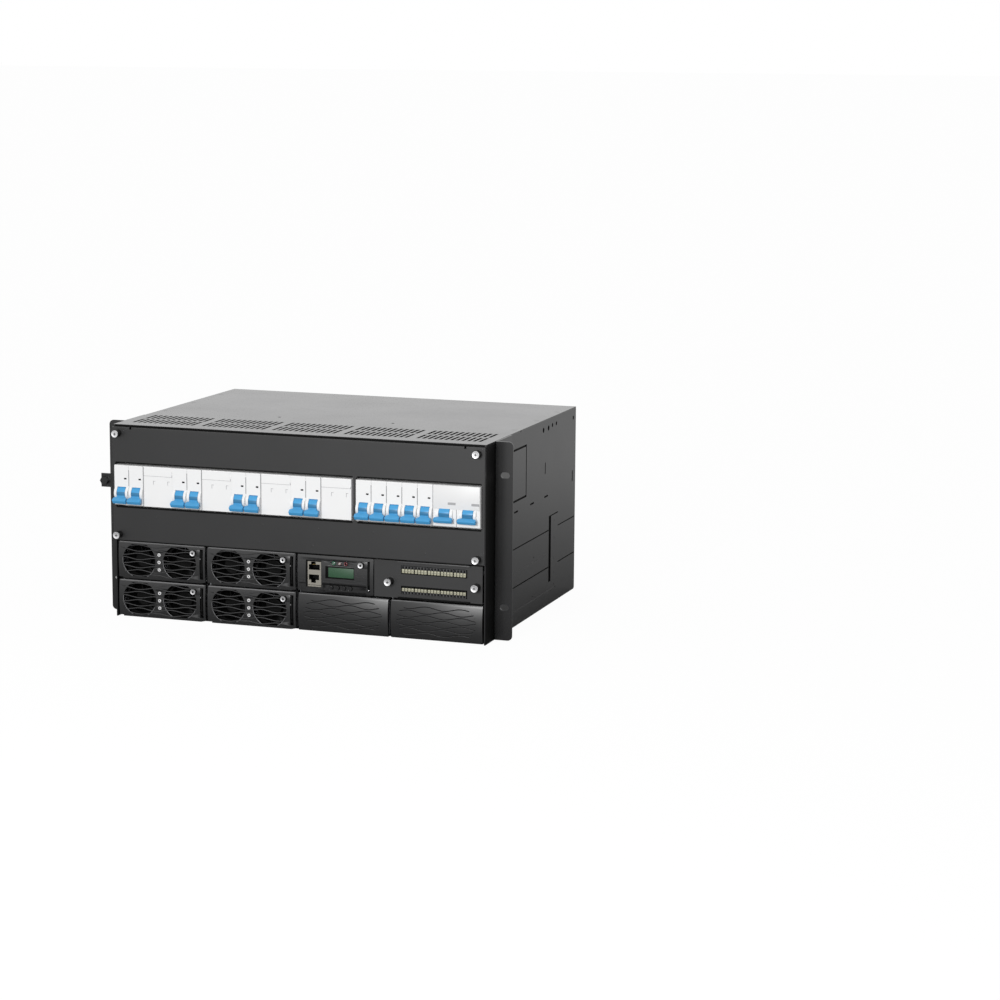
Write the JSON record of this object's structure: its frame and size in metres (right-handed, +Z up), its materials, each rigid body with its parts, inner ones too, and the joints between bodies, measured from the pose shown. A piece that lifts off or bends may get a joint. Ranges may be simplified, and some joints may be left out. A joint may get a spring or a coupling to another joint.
{
  "type": "rack power shelf",
  "caption": "Rack-mount power shelf: slide-in rectifiers with fans, controller and terminal card below a covered row of DIN-rail breakers, in a vented steel chassis with ears.",
  "frame": {"origin": "on the underside, at the middle of the width, in the plane of the ears' rear faces", "axes": "+X to the right seen from the front, +Y from front to back, +Z up"},
  "size_m": [0.4826, 0.3474, 0.22],
  "materials": {
    "chassis_black": "satin powder coat",
    "lid_grey": "satin powder coat",
    "zinc_sheet": "zinc plated",
    "module_black": "fine satin",
    "breaker_white": "moulded",
    "toggle_blue": "moulded",
    "nickel": "nickel plated",
    "copper": "bare copper",
    "board_green": "circuit board",
    "terminal_cream": "moulded",
    "display_green": "display window",
    "rotor_black": "moulded",
    "key_grey": "soft key"
  },
  "bodies": {
    "shelf": {"chassis": "chassis_black", "top_cover": "lid_grey", "rack_ear_left": "chassis_black", "rack_ear_right": "chassis_black", "chassis_screws": "chassis_black", "module_cage": "zinc_sheet", "backplane": "board_green", "breaker_row": "breaker_white", "din_rail": "zinc_sheet", "busbars": "copper"},
    "cover": {"front_cover": "chassis_black", "cover_screws": "nickel"},
    "io_card": {"io_panel": "chassis_black", "io_terminals": "terminal_cream"},
    "controller": {"controller_case": "zinc_sheet", "controller_bezel": "module_black", "controller_ports": "nickel", "controller_display": "display_green"},
    "controller_handle": {"controller_lever": "module_black"},
    "controller_key_1": {"controller_key_1": "key_grey"},
    "controller_key_2": {"controller_key_2": "key_grey"},
    "controller_key_3": {"controller_key_3": "key_grey"},
    "controller_key_4": {"controller_key_4": "key_grey"},
    "rectifier_1": {"rectifier_1_case": "zinc_sheet", "rectifier_1_bezel": "module_black"},
    "rectifier_1_handle": {"rectifier_1_lever": "module_black"},
    "rectifier_1_fan_left": {"rectifier_1_rotor_left": "rotor_black"},
    "rectifier_1_fan_right": {"rectifier_1_rotor_right": "rotor_black"},
    "rectifier_2": {"rectifier_2_case": "zinc_sheet", "rectifier_2_bezel": "module_black"},
    "rectifier_2_handle": {"rectifier_2_lever": "module_black"},
    "rectifier_2_fan_left": {"rectifier_2_rotor_left": "rotor_black"},
    "rectifier_2_fan_right": {"rectifier_2_rotor_right": "rotor_black"},
    "rectifier_3": {"rectifier_3_case": "zinc_sheet", "rectifier_3_bezel": "module_black"},
    "rectifier_3_handle": {"rectifier_3_lever": "module_black"},
    "rectifier_3_fan_left": {"rectifier_3_rotor_left": "rotor_black"},
    "rectifier_3_fan_right": {"rectifier_3_rotor_right": "rotor_black"},
    "rectifier_4": {"rectifier_4_case": "zinc_sheet", "rectifier_4_bezel": "module_black"},
    "rectifier_4_handle": {"rectifier_4_lever": "module_black"},
    "rectifier_4_fan_left": {"rectifier_4_rotor_left": "rotor_black"},
    "rectifier_4_fan_right": {"rectifier_4_rotor_right": "rotor_black"},
    "blank_filler_1": {"blank_filler_1": "module_black"},
    "blank_filler_2": {"blank_filler_2": "module_black"},
    "toggle_01": {"toggle_01": "toggle_blue"},
    "toggle_02": {"toggle_02": "toggle_blue"},
    "toggle_03": {"toggle_03": "toggle_blue"},
    "toggle_04": {"toggle_04": "toggle_blue"},
    "toggle_05": {"toggle_05": "toggle_blue"},
    "toggle_06": {"toggle_06": "toggle_blue"},
    "toggle_07": {"toggle_07": "toggle_blue"},
    "toggle_08": {"toggle_08": "toggle_blue"},
    "toggle_09": {"toggle_09": "toggle_blue"},
    "toggle_10": {"toggle_10": "toggle_blue"},
    "toggle_11": {"toggle_11": "toggle_blue"},
    "toggle_12": {"toggle_12": "toggle_blue"},
    "toggle_13": {"toggle_13": "toggle_blue"},
    "toggle_14": {"toggle_14": "toggle_blue"},
    "toggle_15": {"toggle_15": "toggle_blue"}
  },
  "joints": [
    {"name": "cover_pull", "type": "slide", "parent": "shelf", "child": "cover", "axis": [0, -1, 0], "range_m": [0, 0.06]},
    {"name": "io_card_slide", "type": "slide", "parent": "shelf", "child": "io_card", "axis": [0, -1, 0], "range_m": [0, 0.08]},
    {"name": "controller_slide", "type": "slide", "parent": "shelf", "child": "controller", "axis": [0, -1, 0], "range_m": [0, 0.24]},
    {"name": "controller_handle_swing", "type": "hinge", "parent": "controller", "child": "controller_handle", "pos_m": [0.08545, -0.027, 0.0524], "axis": [1, 0, 0], "range_deg": [0, 65]},
    {"name": "controller_key_1_press", "type": "slide", "parent": "controller", "child": "controller_key_1", "axis": [0, 1, 0], "range_m": [0, 0.001], "stiffness_N_per_m": 300},
    {"name": "controller_key_2_press", "type": "slide", "parent": "controller", "child": "controller_key_2", "axis": [0, 1, 0], "range_m": [0, 0.001], "stiffness_N_per_m": 300},
    {"name": "controller_key_3_press", "type": "slide", "parent": "controller", "child": "controller_key_3", "axis": [0, 1, 0], "range_m": [0, 0.001], "stiffness_N_per_m": 300},
    {"name": "controller_key_4_press", "type": "slide", "parent": "controller", "child": "controller_key_4", "axis": [0, 1, 0], "range_m": [0, 0.001], "stiffness_N_per_m": 300},
    {"name": "rectifier_1_slide", "type": "slide", "parent": "shelf", "child": "rectifier_1", "axis": [0, -1, 0], "range_m": [0, 0.24]},
    {"name": "rectifier_1_handle_swing", "type": "hinge", "parent": "rectifier_1", "child": "rectifier_1_handle", "pos_m": [-0.1155, -0.027, 0.0524], "axis": [1, 0, 0], "range_deg": [0, 65]},
    {"name": "rectifier_1_fan_left_spin", "type": "hinge", "parent": "rectifier_1", "child": "rectifier_1_fan_left", "pos_m": [-0.192, -0.02, 0.0656], "axis": [0, 1, 0], "continuous": true},
    {"name": "rectifier_1_fan_right_spin", "type": "hinge", "parent": "rectifier_1", "child": "rectifier_1_fan_right", "pos_m": [-0.142, -0.02, 0.0656], "axis": [0, 1, 0], "continuous": true},
    {"name": "rectifier_2_slide", "type": "slide", "parent": "shelf", "child": "rectifier_2", "axis": [0, -1, 0], "range_m": [0, 0.24]},
    {"name": "rectifier_2_handle_swing", "type": "hinge", "parent": "rectifier_2", "child": "rectifier_2_handle", "pos_m": [-0.006, -0.027, 0.0524], "axis": [1, 0, 0], "range_deg": [0, 65]},
    {"name": "rectifier_2_fan_left_spin", "type": "hinge", "parent": "rectifier_2", "child": "rectifier_2_fan_left", "pos_m": [-0.0825, -0.02, 0.0656], "axis": [0, 1, 0], "continuous": true},
    {"name": "rectifier_2_fan_right_spin", "type": "hinge", "parent": "rectifier_2", "child": "rectifier_2_fan_right", "pos_m": [-0.0325, -0.02, 0.0656], "axis": [0, 1, 0], "continuous": true},
    {"name": "rectifier_3_slide", "type": "slide", "parent": "shelf", "child": "rectifier_3", "axis": [0, -1, 0], "range_m": [0, 0.24]},
    {"name": "rectifier_3_handle_swing", "type": "hinge", "parent": "rectifier_3", "child": "rectifier_3_handle", "pos_m": [-0.1155, -0.027, 0.0084], "axis": [1, 0, 0], "range_deg": [0, 65]},
    {"name": "rectifier_3_fan_left_spin", "type": "hinge", "parent": "rectifier_3", "child": "rectifier_3_fan_left", "pos_m": [-0.192, -0.02, 0.0216], "axis": [0, 1, 0], "continuous": true},
    {"name": "rectifier_3_fan_right_spin", "type": "hinge", "parent": "rectifier_3", "child": "rectifier_3_fan_right", "pos_m": [-0.142, -0.02, 0.0216], "axis": [0, 1, 0], "continuous": true},
    {"name": "rectifier_4_slide", "type": "slide", "parent": "shelf", "child": "rectifier_4", "axis": [0, -1, 0], "range_m": [0, 0.24]},
    {"name": "rectifier_4_handle_swing", "type": "hinge", "parent": "rectifier_4", "child": "rectifier_4_handle", "pos_m": [-0.006, -0.027, 0.0084], "axis": [1, 0, 0], "range_deg": [0, 65]},
    {"name": "rectifier_4_fan_left_spin", "type": "hinge", "parent": "rectifier_4", "child": "rectifier_4_fan_left", "pos_m": [-0.0825, -0.02, 0.0216], "axis": [0, 1, 0], "continuous": true},
    {"name": "rectifier_4_fan_right_spin", "type": "hinge", "parent": "rectifier_4", "child": "rectifier_4_fan_right", "pos_m": [-0.0325, -0.02, 0.0216], "axis": [0, 1, 0], "continuous": true},
    {"name": "blank_filler_1_pull", "type": "slide", "parent": "shelf", "child": "blank_filler_1", "axis": [0, -1, 0], "range_m": [0, 0.04]},
    {"name": "blank_filler_2_pull", "type": "slide", "parent": "shelf", "child": "blank_filler_2", "axis": [0, -1, 0], "range_m": [0, 0.04]},
    {"name": "toggle_01_throw", "type": "hinge", "parent": "shelf", "child": "toggle_01", "pos_m": [-0.20817, -0.035, 0.143], "axis": [-1, 0, 0], "range_deg": [0, 70]},
    {"name": "toggle_02_throw", "type": "hinge", "parent": "shelf", "child": "toggle_02", "pos_m": [-0.19032, -0.035, 0.143], "axis": [-1, 0, 0], "range_deg": [0, 70]},
    {"name": "toggle_03_throw", "type": "hinge", "parent": "shelf", "child": "toggle_03", "pos_m": [-0.13678, -0.035, 0.143], "axis": [-1, 0, 0], "range_deg": [0, 70]},
    {"name": "toggle_04_throw", "type": "hinge", "parent": "shelf", "child": "toggle_04", "pos_m": [-0.11893, -0.035, 0.143], "axis": [-1, 0, 0], "range_deg": [0, 70]},
    {"name": "toggle_05_throw", "type": "hinge", "parent": "shelf", "child": "toggle_05", "pos_m": [-0.06538, -0.035, 0.143], "axis": [-1, 0, 0], "range_deg": [0, 70]},
    {"name": "toggle_06_throw", "type": "hinge", "parent": "shelf", "child": "toggle_06", "pos_m": [-0.04752, -0.035, 0.143], "axis": [-1, 0, 0], "range_deg": [0, 70]},
    {"name": "toggle_07_throw", "type": "hinge", "parent": "shelf", "child": "toggle_07", "pos_m": [0.00602, -0.035, 0.143], "axis": [-1, 0, 0], "range_deg": [0, 70]},
    {"name": "toggle_08_throw", "type": "hinge", "parent": "shelf", "child": "toggle_08", "pos_m": [0.02388, -0.035, 0.143], "axis": [-1, 0, 0], "range_deg": [0, 70]},
    {"name": "toggle_09_throw", "type": "hinge", "parent": "shelf", "child": "toggle_09", "pos_m": [0.08278, -0.035, 0.143], "axis": [-1, 0, 0], "range_deg": [0, 70]},
    {"name": "toggle_10_throw", "type": "hinge", "parent": "shelf", "child": "toggle_10", "pos_m": [0.10063, -0.035, 0.143], "axis": [-1, 0, 0], "range_deg": [0, 70]},
    {"name": "toggle_11_throw", "type": "hinge", "parent": "shelf", "child": "toggle_11", "pos_m": [0.11847, -0.035, 0.143], "axis": [-1, 0, 0], "range_deg": [0, 70]},
    {"name": "toggle_12_throw", "type": "hinge", "parent": "shelf", "child": "toggle_12", "pos_m": [0.13633, -0.035, 0.143], "axis": [-1, 0, 0], "range_deg": [0, 70]},
    {"name": "toggle_13_throw", "type": "hinge", "parent": "shelf", "child": "toggle_13", "pos_m": [0.15418, -0.035, 0.143], "axis": [-1, 0, 0], "range_deg": [0, 70]},
    {"name": "toggle_14_throw", "type": "hinge", "parent": "shelf", "child": "toggle_14", "pos_m": [0.1766, -0.035, 0.143], "axis": [-1, 0, 0], "range_deg": [0, 70]},
    {"name": "toggle_15_throw", "type": "hinge", "parent": "shelf", "child": "toggle_15", "pos_m": [0.2036, -0.035, 0.143], "axis": [-1, 0, 0], "range_deg": [0, 70]}
  ]
}
